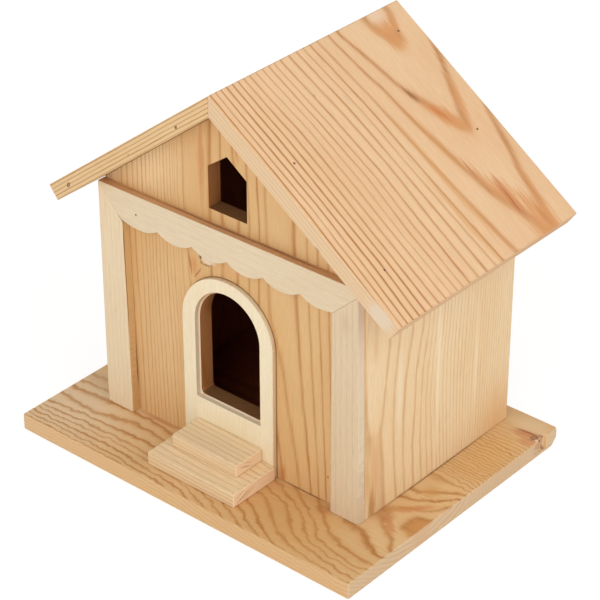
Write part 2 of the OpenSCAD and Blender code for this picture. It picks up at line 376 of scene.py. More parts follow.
def board_point(w, origin, across, along, through):
    """The place on a board in millimetres from its origin, measured across, along and through it."""
    place = w.node("ShaderNodeTexCoord").outputs["Object"]
    place = w.vector("SUBTRACT", place, tuple(origin))
    axes = [tuple(Vector(axis).normalized() / MM) for axis in (across, along, through)]
    return w.join(*[w.vector("DOT_PRODUCT", place, axis) for axis in axes])


def towards(w, direction):
    """How much a face looks in a direction, from 1 to -1."""
    normal = w.node("ShaderNodeNewGeometry").outputs["True Normal"]
    return w.vector("DOT_PRODUCT", normal, tuple(Vector(direction).normalized()))


def facing_mask(w, direction):
    """Where a face looks in a direction."""
    return w.spread(towards(w, direction), 0.5, 0.8, smooth=True)


def end_grain_mask(w, along):
    """Where a face lies across the fibres, which run along the board."""
    return w.spread(w.maths("ABSOLUTE", towards(w, along)), 0.6, 0.9, smooth=True)


def graph(w, value, marks):
    """A smooth graph through marks, which are pairs of place and height."""
    places, heights = zip(*marks)
    left, width = places[0], places[-1] - places[0]
    floor, rise = min(heights), (max(heights) - min(heights)) or 1.0
    made = w.node("ShaderNodeFloatCurve")
    made.mapping.use_clip = False
    made.mapping.extend = "EXTRAPOLATED"
    points = made.mapping.curves[0].points
    while len(points) < len(marks):
        points.new(0.5, 0.5)
    for point, place, height in zip(points, places, heights):
        point.location = ((place - left) / width, (height - floor) / rise)
        point.handle_type = "AUTO"
    made.mapping.update()
    w.put(made.inputs["Value"], w.maths("DIVIDE", w.minus(value, left), width))
    return w.times_plus(made.outputs[0], rise, floor)


def ring_count(w, point, chart, dip, lean):
    """The count of growth rings at a board point.

    The chart gives, at a few places along the board, the ring count across it; in between it is
    mixed. Deeper in the board the rings move sideways by the lean, and their count changes by the
    dip.
    """
    across, along, through = w.split(point)
    across = w.times_plus(through, lean, across)
    places = [place for place, _ in chart]
    counts = [graph(w, across, marks) for _, marks in chart]
    count = counts[0]
    for before, place, here in zip(places, places[1:], counts[1:]):
        share = w.spread(along, before, place)
        count = w.times_plus(share, w.minus(here, count), count)
    return w.times_plus(through, dip, count)


def inside_mask(w):
    """Where a point lies in the closed chamber of the box, which the photograph shows nearly black."""
    x, y, _ = w.split(w.node("ShaderNodeTexCoord").outputs["Object"])
    edge = 0.4 * MM
    half = side_high.x - WALL
    sides = w.spread(w.maths("ABSOLUTE", x), half + edge, half + 2 * edge, 1.0, 0.0)
    front = w.spread(y, FRONT_Y + WALL - 2 * edge, FRONT_Y + WALL - edge, 0.0, 1.0)
    back = w.spread(y, side_high.y - WALL + edge, side_high.y - WALL + 2 * edge, 1.0, 0.0)
    return w.times(sides, w.times(front, back))


def spot(middle, half, colour, amount=0.8, ragged=0.5, soft=0.8, turn=0.0, on="top", facing=None):
    """A soft oval mark on a board, in millimetres, turned by degrees.

    on: the face that its two measures lie in: the top (across, along), the end (across, through)
    or the edge (along, through).
    """
    shape = dict(Middle_First=middle[0], Middle_Second=middle[1], Half_First=half[0],
                 Half_Second=half[1], Turn=math.radians(turn), Raggedness=ragged, Softness=soft)
    return dict(shape=shape, colour=srgb(*colour), amount=amount, on=on, facing=facing)


def on_face(on, facing, marks):
    """The same marks on a board's end or edge that looks in a direction."""
    return [dict(mark, on=on, facing=facing) for mark in marks]


def face(direction, colour, amount=0.8, between=None):
    """A board's faces in one direction are drawn towards a colour; between limits them across it."""
    return dict(direction=direction, colour=srgb(*colour), amount=amount, between=between)


def arch_line(middle, arch_height, radius, start, end, colour, amount):
    """A line along an arched door outline, from one distance outside it to another."""
    shape = dict(Middle=middle, Arch_Height=arch_height, Radius=radius)
    return dict(shape=shape, start=start, end=end, colour=srgb(*colour), amount=amount)


def add_spots(w, colour, point, fibres, spots):
    """A colour with oval marks drawn over it, the first one lowest."""
    across, along, through = w.split(point)
    planes = {"top": (across, along), "end": (across, through), "edge": (along, through)}
    for mark in spots:
        first, second = planes[mark["on"]]
        place = dict(First=first, Second=second, Fibres=fibres)
        mask = w.group(spot_group, **place, **mark["shape"])["Mask"]
        if mark["facing"] is not None:
            mask = w.times(mask, facing_mask(w, mark["facing"]))
        colour = w.blend(w.times(mask, mark["amount"]), colour, mark["colour"])
    return colour


def add_faces(w, colour, point, faces):
    """A colour drawn towards others where the board's faces look in their directions."""
    across = w.split(point)[0]
    for one in faces:
        mask = w.times(facing_mask(w, one["direction"]), one["amount"])
        if one["between"]:
            low, high = one["between"]
            mask = w.times(mask, w.maths("GREATER_THAN", across, low))
            mask = w.times(mask, w.maths("LESS_THAN", across, high))
        colour = w.blend(mask, colour, one["colour"])
    return colour


def add_arch_lines(w, colour, point, lines, outwards):
    """A colour with lines round the doorway drawn over it, on the board's outer face."""
    for one in lines:
        distance = w.group(arch_group, Board_Point=point, **one["shape"])["Distance"]
        half = (one["end"] - one["start"]) / 2
        off = w.maths("ABSOLUTE", w.minus(distance, one["start"] + half))
        mask = w.times(w.spread(off, half * 0.5, half, 1.0, 0.0, smooth=True), one["amount"])
        colour = w.blend(w.times(mask, facing_mask(w, outwards)), colour, one["colour"])
    return colour


def pine(node, origin, axes, size, chart, wood, dip=0.3, lean=0.5, bend=2.0, ripple=0.6,
         waves=0.0, streaks=25.0, seed=0.0, strength=1.0, line_width=1.0, tints=(), spots=(),
         faces=(), marks=(), lines=(), wear=0.35, shade=False):
    """Makes a pine board's material and keeps it for the board's node.

    axes: directions across, along and out of the board, from its origin. size: its width and
    length in millimetres. chart: its ring chart, or a number of straight rings. wood: its four
    colours. strength: a number, or pairs of place across the board and line strength. tints lie
    under the growth rings, spots over them but under the faces' colours, and marks over all;
    lines follow an arch.
    """
    material, w, shader = start_material(node.replace("_", " ") + " wood")
    point = board_point(w, origin, *axes)
    end_grain = end_grain_mask(w, axes[1])
    moved = w.group(
        fibre_group, Board_Point=point, Bend=bend, Ripple=ripple, Waves=waves, Streak_Length=streaks,
        Seed=seed,
    )
    if isinstance(chart, int):
        chart = straight(size, chart)
    rings = ring_count(w, moved["Bent Point"], chart, dip, lean)
    if not isinstance(strength, (int, float)):
        strength = graph(w, w.split(point)[0], strength)
    colours = dict(wood)
    for kind in ("Pale_Wood", "Warm_Wood"):
        colours[kind] = add_spots(w, colours[kind], point, moved["Fibres"], tints)
    sawn = w.group(
        pine_group, Board_Point=point, Rings=rings, Fibres=moved["Fibres"], End_Grain=end_grain,
        Line_Strength=strength, Line_Width=line_width, Seed=seed, **colours,
    )
    worn = w.group(wear_group, Board_Point=point, Width=size[0], Length=size[1], Seed=seed)["Mask"]
    colour = add_spots(w, sawn["Color"], point, moved["Fibres"], spots)
    colour = add_arch_lines(w, colour, point, lines, axes[2])
    colour = add_faces(w, colour, point, faces)
    colour = add_spots(w, colour, point, moved["Fibres"], marks)
    handled = w.blend(1.0, colour, HANDLED_WOOD, "MULTIPLY")
    colour = w.blend(w.times(worn, wear), colour, handled)
    # Painted shade: the faces inside the closed chamber are darkened by INSIDE_SHADE
    if shade:
        colour = w.blend(inside_mask(w), colour, w.blend(1.0, colour, INSIDE_SHADE, "MULTIPLY"))
    w.put(shader.inputs["Base Color"], colour)
    w.put(shader.inputs["Roughness"], w.times_plus(worn, WORN_ROUGHNESS, sawn["Roughness"]))
    shader.inputs["Specular IOR Level"].default_value = WOOD_SHINE
    bump = w.node("ShaderNodeBump")
    bump.inputs["Strength"].default_value = RELIEF_STRENGTH
    bump.inputs["Distance"].default_value = RELIEF_DEPTH
    w.put(bump.inputs["Height"], sawn["Height"])
    w.put(shader.inputs["Normal"], bump.outputs[0])
    materials[node] = material


# Directions of the frame and of the two roof panels
X, Y, Z = Vector((1, 0, 0)), Vector((0, 1, 0)), Vector((0, 0, 1))
up_right_slope = Vector((-math.cos(RIGHT_PITCH), 0, math.sin(RIGHT_PITCH)))
out_of_right_slope = Vector((math.sin(RIGHT_PITCH), 0, math.cos(RIGHT_PITCH)))
up_left_slope = Vector((math.cos(LEFT_PITCH), 0, math.sin(LEFT_PITCH)))
out_of_left_slope = Vector((-math.sin(LEFT_PITCH), 0, math.cos(LEFT_PITCH)))

# What all the boards share
# Painted shade for the faces inside the closed chamber
INSIDE_SHADE = srgb(160, 102, 80)
HANDLED_WOOD = srgb(226, 210, 192)
WORN_ROUGHNESS = 0.06
WOOD_SHINE = 0.3
RELIEF_STRENGTH = 0.35
RELIEF_DEPTH = 0.12 * MM


def wood_colours(pale, warm, late, line):
    """A board's pale wood, its warmer clouds, the late wood of each ring and its dark line."""
    return dict(Pale_Wood=srgb(*pale), Warm_Wood=srgb(*warm), Late_Wood=srgb(*late),
                Dark_Line=srgb(*line))


ROOF_WOOD = wood_colours((235, 196, 153), (230, 184, 138), (214, 156, 98), (176, 114, 62))
LEFT_ROOF_WOOD = wood_colours((234, 203, 156), (230, 195, 145), (208, 160, 104), (162, 112, 64))
FRONT_WOOD = wood_colours((219, 178, 124), (212, 166, 108), (196, 140, 78), (168, 112, 58))
SIDE_WOOD = wood_colours((236, 208, 166), (230, 194, 146), (212, 166, 112), (192, 142, 88))
BASE_WOOD = wood_colours((222, 186, 136), (212, 168, 112), (202, 146, 84), (174, 118, 62))
STEP_WOOD = wood_colours((238, 213, 174), (234, 205, 162), (214, 176, 128), (194, 150, 100))
TRIM_WOOD = wood_colours((230, 208, 174), (226, 201, 165), (218, 192, 152), (208, 180, 138))
DULL_TRIM_WOOD = wood_colours((219, 195, 162), (214, 188, 152), (204, 178, 138), (194, 166, 124))
FASCIA_WOOD = wood_colours((223, 203, 171), (219, 197, 162), (212, 188, 150), (202, 176, 136))
SURROUND_WOOD = wood_colours((238, 222, 190), (236, 216, 180), (232, 210, 172), (226, 202, 162))


def arches(centre, half, length, tips, spacing):
    """A ring chart for a board that the photograph doesn't show: arches about a centre line.

    The count grows towards the centre, with more and more between the rings, and by the tips along
    the board.
    """
    reaches = [half * share for share in (-1, -0.6, -0.3, -0.12, 0, 0.12, 0.3, 0.6, 1)]
    rows = 4
    chart = []
    for row in range(rows + 1):
        marks = []
        for reach in reaches:
            far = abs(reach) / half
            bulge = math.exp(-((far / 0.35) ** 2))
            count = -far * half / spacing * (0.35 + 0.65 * far) + tips * row / rows * bulge
            marks.append((centre + reach, count))
        chart.append((length * row / rows, marks))
    return chart


def straight(size, rings, drift=0.5):
    """A ring chart of straight lines along a narrow board."""
    width, length = size
    return [(0, [(0, 0.0), (width, rings)]), (length, [(0, drift), (width, rings + drift)])]


def rings(first, places, step=1):
    """Marks of a ring chart: rings counted on from the first, at their places across the board."""
    return [(place, first + step * index) for index, place in enumerate(places)]


# Ring charts of the boards that the photograph shows, in millimetres, from its growth lines:
# (place along the board, [(place across it, ring count), ...])

ROOF_CHART = [
    (0, [(0, 0.3), *rings(2, [7.5, 17.8, 28.8, 40.9, 51.6, 62.4], step=2),
         *rings(13, [70.4, 78.4, 86.7, 93.5, 106.2]), (125, 17.6), (131, 17.82), (136, 18), (141, 18.05),
         (145, 17.95), (149, 17.76), (164.5, 17.3)]),
    (40, [(0, -0.2), *rings(2, [10, 20.2, 29.9, 41.4, 51.6, 63.4], step=2),
         *rings(13, [70.8, 78.3, 85.2, 91.5, 102.1]), (112, 17.55), (120.9, 18), (128, 18.16),
         (140, 18.25), (147, 18.16), (150.9, 18), (164.5, 17.5)]),
    (80, [(0, -0.5), *rings(2, [11.3, 20.4, 30.7, 42, 53.6, 64.3], step=2),
         *rings(13, [72.2, 77.7, 84.1, 90, 98.5, 112.6]), (124, 18.55), (131, 18.82), (137.4, 19),
         (141, 19.03), (146, 18.85), (163.3, 18), (164.5, 17.95)]),
    (120, [(0, -0.6), *rings(2, [11.1, 20.8, 30.9, 42.4, 52.2, 62.7], step=2),
         *rings(13, [70.4, 76.8, 83, 88.7, 95.7, 107.6, 118]), (128, 19.35), (141, 19.55), (152, 19.35),
         (160.9, 19), (164.5, 18.85)]),
    (160, [(0, -0.5), *rings(2, [10.6, 19.9, 29.2, 39.3, 49.9, 59.8], step=2),
         *rings(13, [67.1, 73.7, 79.4, 85.2, 91.5, 101.4, 108.9]), (122, 19.6), (132.8, 20), (142, 20.3),
         (152.3, 20), (164.5, 19.4)]),
]
FRONT_CHART = [
    (0, [(0, 21.5), (22, 16), (30.4, 14), (40, 11), (54.6, 6.5), (64, 3.2), (85, 1.2), (110, 2.5),
         *rings(5, [137.3, 150.3, 158.8, 164.8, 170.5]), (199, 14)]),
    (60, [(0, 20.7), (20.2, 16), (29.3, 14), (39.5, 10.5), (55.3, 5.5), (64, 2.5), (80, 0.8), (110, 3.2),
         *rings(5, [128, 140.2, 152.7, 161, 167.7]), (199, 14)]),
    (110, [(0, 20), (17.5, 16), (28.4, 14), (39.5, 10.1), (55, 4.8), (63, 1.6), (74, 0.5), (92, 2),
         (108.5, 3.5), *rings(5, [120, 128, 149, 158, 165.3]), (199, 14)]),
    (166, [(0, 19.8), (13.8, 17), (26.7, 14), (39.6, 10), (53.2, 5), (63.1, 1), (70, 0.5),
         *rings(1, [83.5, 93, 105.5, 113.5, 120.8, 125.8, 146.2, 155.4, 163.2]), (199, 14)]),
    (225, [(0, 19.8), (26.7, 14), (53.2, 5), (63.1, 1), (70, 0.5),
         *rings(1, [85, 92, 100, 110, 118, 124, 145]), (199, 14)]),
]
SIDE_CHART = [
    (0, [(0, 0.78), (9, 0.9), *rings(1, [17.2, 28.8, 36.6, 45.2]), (58.5, 6), (77.6, 11), (101, 19.5),
         (138, 35)]),
    (30, [(0, 0.8), (9, 0.86), *rings(1, [15.6, 25.9, 34.4, 43.1]), (56.2, 6), (75.7, 11), (101, 19.5),
         (138, 35)]),
    (55, [(0, 0.95), (3.5, 1), (8, 0.86), *rings(1, [12.7, 24.7, 34, 44.6]), (54.9, 6), (74.5, 11),
         (99.6, 19), (138, 35)]),
    (80, [(0, 1), (6, 0.4), (10, 0.45), *rings(1, [16.5, 25.3, 35.3, 45.1]), (56.4, 6), (74.1, 11),
         (100.8, 19), (138, 35)]),
    (110, [(0, 0.7), (8, 0.1), *rings(1, [20.2, 29.1, 40.8, 50.8]), (60.3, 6), (76.6, 11), (102, 19),
         (138, 35)]),
]
# The base's back part, the same at every place along the board
BACK_OF_BASE = [(113, 10), (124, 6.6), (137, 1.8), (150, -3), (160, -6.2),
                (172, -10), (181, -12.4), (187, -13.6), (201, -14)]
BASE_CHART = [
    (6, [(0, -1.3), *rings(0, [4.4, 7.9, 11.9, 16.2, 21.5, 31.8, 42.3]), (66, 8.5), (90, 9.5)]),
    (30, [(0, -1.3), *rings(0, [4.7, 8.7, 13.7, 18, 23.9, 29.7, 44]), (66, 8.5), (90, 9.5)]),
    (60, [(0, -1.3), *rings(0, [4.8, 9.8, 15, 19.3, 26.1, 37.2, 46]), (66, 8.5), (90, 9.5)]),
    (80, [(0, -1.2), *rings(0, [4.4, 9.1, 14.1, 19.1, 27.4, 36.4, 44.6]), (66, 8.5), (90, 9.5)]),
    (125, [(0, 0.1), *rings(1, [5, 10, 14.5, 19, 27, 34]), (66, 9), (90, 9.5)]),
    (170, [(0, 3.3), *rings(4, [4.9, 12.5, 20.2, 30.6, 38, 46]), (66, 11), (90, 10.5)]),
    (185, [(0, 4.4), *rings(5, [3.8, 9.6, 20.2, 34.3, 39.8, 45.8]), (66, 11.6), (90, 11)]),
    (200, [(0, 5.6), *rings(6, [2.3, 9.9, 19.9, 30.4, 35.6, 45.6]), (66, 12.2), (90, 11.4)]),
    (220, [(0, 6.2), *rings(7, [4, 10, 15.1, 20.6, 29.3, 44]), (66, 12.78), (85, 11.7), (100, 10.6)]),
    (236, [(0, 6.5), *rings(7, [1.6, 7.8, 12.2, 16.9, 23.8, 42]), (58.6, 12.95), (66, 13.1), (73, 12.95),
         (84.8, 12), (93.2, 11), (109, 10.1)]),
    (250, [*rings(7, [0, 5.9, 11.5, 15, 21.7, 32.2, 48.5]), (58, 13.85), (66.7, 14), (75, 13.85),
         (80.2, 13), (94, 12), (103, 11)]),
    (262, [(0, 6.9), *rings(8, [6, 12, 16.5, 21.5, 29, 36, 58]), (67, 14.15), (78, 14), (97, 13),
         (105, 12), (110, 11)]),
]
BASE_CHART = [(place, marks + BACK_OF_BASE) for place, marks in BASE_CHART]

# Colours of marks and faces, 0 to 255 a channel
RESIN_ORANGE = (216, 152, 96)
KNOT_RED = (190, 118, 72)
# The next two browns serve knots, resin and checks, and also paint lines of shade beside the left corner
# post
KNOT_AND_SHADOW_BROWN = (104, 66, 40)
DARK_RESIN_AND_SHADOW = (128, 76, 40)
FADED = (232, 214, 190)
END_PINK = (255, 228, 194)
# Painted shadow where a part stands on or against a board
CONTACT_SHADOW = (120, 78, 44)
JAMB_BROWN = (164, 92, 40)
# The sills' brown is the cut faces' brown, darkened further by painted shade
SHADED_SILL_BROWN = (106, 66, 30)


def size_mm(low, high, across, along):
    """A board's width and length in millimetres, measured along two of the frame's axes."""
    return tuple((getattr(high, axis) - getattr(low, axis)) / MM for axis in (across, along))


def lying(node):
    """The origin, axes and size of a board that lies flat, with its fibres along X."""
    low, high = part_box(node)
    return (low.x, low.y, high.z), (Y, X, Z), size_mm(low, high, "y", "x")


roof_length = (roof_high.y - roof_low.y) / MM
right_roof_size = (roof_length, roof_high.x / MM / math.cos(RIGHT_PITCH))
left_roof_size = (roof_length, -left_roof_low.x / MM / math.cos(LEFT_PITCH))
gable_size = (2 * side_high.x / MM, (wall_high.z - wall_low.z) / MM)
# Longer than the side walls, so that their tops under the roof show no wear
side_size = ((side_high.y - side_low.y) / MM, 200)
post_size = size_mm(post_low, post_high, "x", "z")
fascia_size = size_mm(fascia_low, fascia_high, "z", "x")
surround_size = size_mm(surround_low, surround_high, "x", "z")

# The door surround's outline on the front wall, measured from that wall's left edge
DOOR_BOARD = 10.1
door_middle = ((surround_low.x + surround_high.x) / 2 + side_high.x) / MM
surround_radius = surround_size[0] / 2
arch_height = surround_size[1] - surround_radius
ledge_radius = surround_radius - DOOR_BOARD - 1.0

# The boards' materials, by node
materials = {}

# Right roof panel: rings that close in a V, with orange resin along the arms
pine(
    "right_roof_panel", (roof_high.x, ROOF_FRONT_Y, RIDGE_Z - roof_high.x * math.tan(RIGHT_PITCH)),
    (Y, up_right_slope, out_of_right_slope), right_roof_size, ROOF_CHART, ROOF_WOOD,
    dip=0.15, lean=1, bend=0.6, ripple=0.4, streaks=14, seed=3,
    strength=[(0, 1.35), (18, 1.3), (30, 0.95), (50, 0.64), (75, 0.72), (100, 0.8), (118, 0.92),
              (164, 0.84)],
    spots=[
        spot((139, 4), (13.5, 31), RESIN_ORANGE, ragged=2.6, soft=0.5),
        spot((142, 10), (2.4, 12), (196, 122, 70), 0.5, ragged=2.6),
        spot((131, 30), (7, 17), RESIN_ORANGE, 0.75, ragged=2.4, soft=0.6, turn=14),
        spot((129.8, 26), (3.2, 19), (184, 98, 56), ragged=3),
        spot((123.5, 40), (5, 30), RESIN_ORANGE, 0.6, ragged=1.8, turn=10),
        spot((120.5, 52), (1.6, 12), (176, 106, 66), 0.55, ragged=3, turn=6),
        spot((149, 24), (3.5, 30), RESIN_ORANGE, 0.6, ragged=1.8, turn=-8),
        spot((132.5, 89), (6.5, 20), RESIN_ORANGE, 0.9, ragged=2, soft=0.6, turn=30),
        spot((130.5, 92), (2.6, 11), (202, 120, 64), 0.7, ragged=2.5, turn=24),
        spot((150, 93), (4.5, 26), RESIN_ORANGE, 0.7, ragged=1.8, turn=-22),
        spot((140.5, 79), (4.5, 7), RESIN_ORANGE, 0.7, ragged=1.6),
        spot((122, 109), (1.8, 7), DARK_RESIN_AND_SHADOW, 0.6, ragged=3, soft=0.7, turn=12),
        spot((141.5, 147), (10, 16), RESIN_ORANGE, 0.85, ragged=1.8, soft=0.6),
        spot((133.5, 152), (3, 9), RESIN_ORANGE, 0.7, ragged=1.8, soft=0.7, turn=20),
        spot((150.5, 153), (3, 9), RESIN_ORANGE, 0.7, ragged=1.8, soft=0.7, turn=-22),
        spot((142, 163), (6.5, 9), (236, 208, 184), 0.55, ragged=2.5, soft=0.6),
        spot((99, 64), (3.2, 60), (214, 156, 92), 0.6, ragged=1.2, turn=1.5),
        spot((90, 30), (2.6, 50), (216, 160, 96), 0.5, ragged=1.4, turn=3),
        spot((113, 80), (3.2, 40), (218, 158, 96), 0.5, ragged=1.4, turn=8),
        spot((103, 22), (2.4, 26), (206, 142, 84), 0.6, ragged=1.8, turn=5),
        spot((80.5, 126), (2, 4), (206, 184, 158), 0.5, soft=0.9),
        spot((62.5, 136), (1.2, 1.8), DARK_RESIN_AND_SHADOW, 0.3, soft=0.9),
    ],
    faces=[face(-Y, (230, 206, 170), 0.7), face(-up_right_slope, (228, 196, 160), 0.5)],
    marks=on_face("edge", -Y, [
        spot((12, -5), (12, 9), (228, 216, 198), 0.6, soft=0.6),
        spot((62, -10), (3, 1), DARK_RESIN_AND_SHADOW, 0.5, ragged=3, soft=0.6),
    ]),
)

# Left roof panel: its top isn't seen, and its front edge has small dark marks
pine(
    "left_roof_panel", (left_roof_low.x, ROOF_FRONT_Y, RIDGE_Z + left_roof_low.x * math.tan(LEFT_PITCH)),
    (Y, up_left_slope, out_of_left_slope), left_roof_size,
    arches(centre=96, half=100, length=165, tips=3.2, spacing=6), LEFT_ROOF_WOOD,
    dip=0.38, lean=0.2, seed=8, strength=1.1,
    faces=[face(-Y, (228, 194, 144), 0.1)],
    marks=on_face("edge", -Y, [
        spot((128, -6.5), (1.6, 1.2), KNOT_AND_SHADOW_BROWN, 0.9, soft=0.6, turn=20),
        spot((16.8, -5.6), (2.5, 1.4), KNOT_AND_SHADOW_BROWN, soft=0.4, turn=20),
        spot((16.9, -5.6), (1.3, 0.6), (186, 146, 104), 0.9, soft=0.6, turn=20),
        spot((79.5, -7.2), (1.2, 0.8), DARK_RESIN_AND_SHADOW, 0.45, soft=0.6),
    ]),
)

# Front wall: a knot over the doorway, dark streaks, a pale ledge and brown jambs, with painted shade on
# the sills, round the door surround and beside the left post's foot
pine(
    "front_wall", (-side_high.x, FRONT_Y, wall_low.z), (X, Z, -Y), gable_size, FRONT_CHART, FRONT_WOOD,
    dip=0.1, lean=0.3, bend=0.5, ripple=0.7, streaks=30, seed=12, wear=0, shade=True,
    strength=[(0, 0.55), (50, 0.55), (62, 0.35), (75, 0.6), (120, 0.62), (150, 0.62), (172, 0.75),
              (199, 0.7)],
    tints=[
        spot((30, 188), (48, 46), (236, 206, 160), 0.95, ragged=0.6, soft=0.9),
        spot((40, 60), (30, 90), (222, 184, 136), 0.5, ragged=0.6, soft=0.9),
    ],
    spots=[
        spot((77.5, 190), (3.6, 36), (200, 138, 84), 0.75, ragged=1.8),
        spot((104, 208), (2, 12), (196, 132, 78), 0.6, ragged=1.8, turn=10),
        spot((93, 160), (2, 7), (192, 130, 74), 0.6, ragged=1.8, turn=20),
        spot((14.5, 60), (4.5, 110), (192, 142, 88), 0.6, ragged=2.2),
        spot((97, 127), (14, 5), (214, 158, 104), 0.5, ragged=1.5),
        # painted shadow in the gap between the wall and the left post's foot
        spot((18.2, 22), (1.4, 34), DARK_RESIN_AND_SHADOW, 0.7, ragged=2, soft=0.7),
        spot((18.4, 68), (0.8, 1.2), KNOT_AND_SHADOW_BROWN, soft=0.6),
        spot((171.5, 18), (0.8, 1), KNOT_AND_SHADOW_BROWN, soft=0.6),
        spot((69.8, 121), (4.2, 9), (206, 142, 86), 0.7, ragged=1.2, soft=0.7),
        spot((67.2, 121), (1.1, 11), (168, 104, 56), 0.75, ragged=1.6, turn=10),
        spot((72.6, 117), (1, 7.5), (168, 104, 56), 0.75, ragged=1.6, turn=-35),
        spot((81, 129), (7, 4), FADED, 0.75, ragged=0.8, soft=0.5),
        spot((79.6, 125), (4.4, 0.8), KNOT_AND_SHADOW_BROWN, 0.6, ragged=1.5, soft=0.7, turn=6),
        spot((75.2, 129), (1.4, 2.2), KNOT_AND_SHADOW_BROWN, 0.85, ragged=1.5, soft=0.6),
        spot((75.9, 125.4), (0.9, 1.6), KNOT_AND_SHADOW_BROWN, 0.7, ragged=1.5, soft=0.6, turn=20),
        spot((83.7, 126.3), (0.8, 0.8), KNOT_AND_SHADOW_BROWN, 0.6, soft=0.6),
        spot((137, 5), (3, 9), (196, 120, 66), 0.6, ragged=1.2, soft=0.9),
        spot((door_middle, 33.6), (28, 1.5), FADED, 0.9, ragged=0, soft=0.3, facing=-Y),
    ],
    lines=[
        arch_line(door_middle, arch_height, ledge_radius, -1.6, 1.6, FADED, 0.9),
        # painted shadow round the door surround's outer edge
        arch_line(door_middle, arch_height, surround_radius, -0.6, 0.8, CONTACT_SHADOW, 0.7),
    ],
    # Brown cut faces of the openings; the sills, looking up and down, also carry painted shade
    faces=[face(X, JAMB_BROWN, 0.75), face(-X, JAMB_BROWN, 0.75),
           face(Z, SHADED_SILL_BROWN, 0.9), face(-Z, SHADED_SILL_BROWN, 0.9)],
)

# Back wall, which the photograph doesn't show
pine(
    "back_wall", (-side_high.x, side_high.y, wall_low.z), (X, Z, Y), gable_size,
    arches(centre=120, half=120, length=235, tips=4, spacing=6), FRONT_WOOD,
    seed=17, strength=0.7, wear=0, shade=True,
)

# Right wall: upright grain, browner at the foot, with three pale streaks
pine(
    "right_wall", (side_high.x, FRONT_Y, side_low.z), (Y, Z, X), side_size, SIDE_CHART, SIDE_WOOD,
    dip=0.2, lean=0.3, bend=0.5, ripple=0.5, streaks=22, seed=21, shade=True,
    strength=[(0, 0.7), (20, 0.6), (60, 0.5), (90, 0.42), (138, 0.4)],
    spots=[
        spot((8, 30), (6, 34), (216, 166, 114), 0.7, ragged=1.2, soft=0.7),
        spot((1.5, 28), (3, 22), (206, 162, 94), 0.7, ragged=1.2),
        spot((6, 6), (4.5, 18), (184, 128, 66), ragged=1.8),
        spot((128, 6), (24, 40), (224, 174, 118), 0.6, ragged=0.8, soft=0.9),
        spot((66, 70), (3.5, 90), (244, 224, 188), 0.6, ragged=1.6, soft=0.9),
        spot((103, 60), (2.4, 60), (244, 224, 188), 0.5, ragged=1.6, soft=0.9),
        spot((30, 75), (4, 45), (238, 218, 184), 0.6, ragged=1.2, soft=0.9),
    ],
)

# Left wall, which the photograph doesn't show
pine(
    "left_wall", (-side_high.x, FRONT_Y, side_low.z), (Y, Z, -X), side_size,
    arches(centre=90, half=95, length=150, tips=-2.5, spacing=5), SIDE_WOOD,
    seed=26, strength=0.6, shade=True,
)

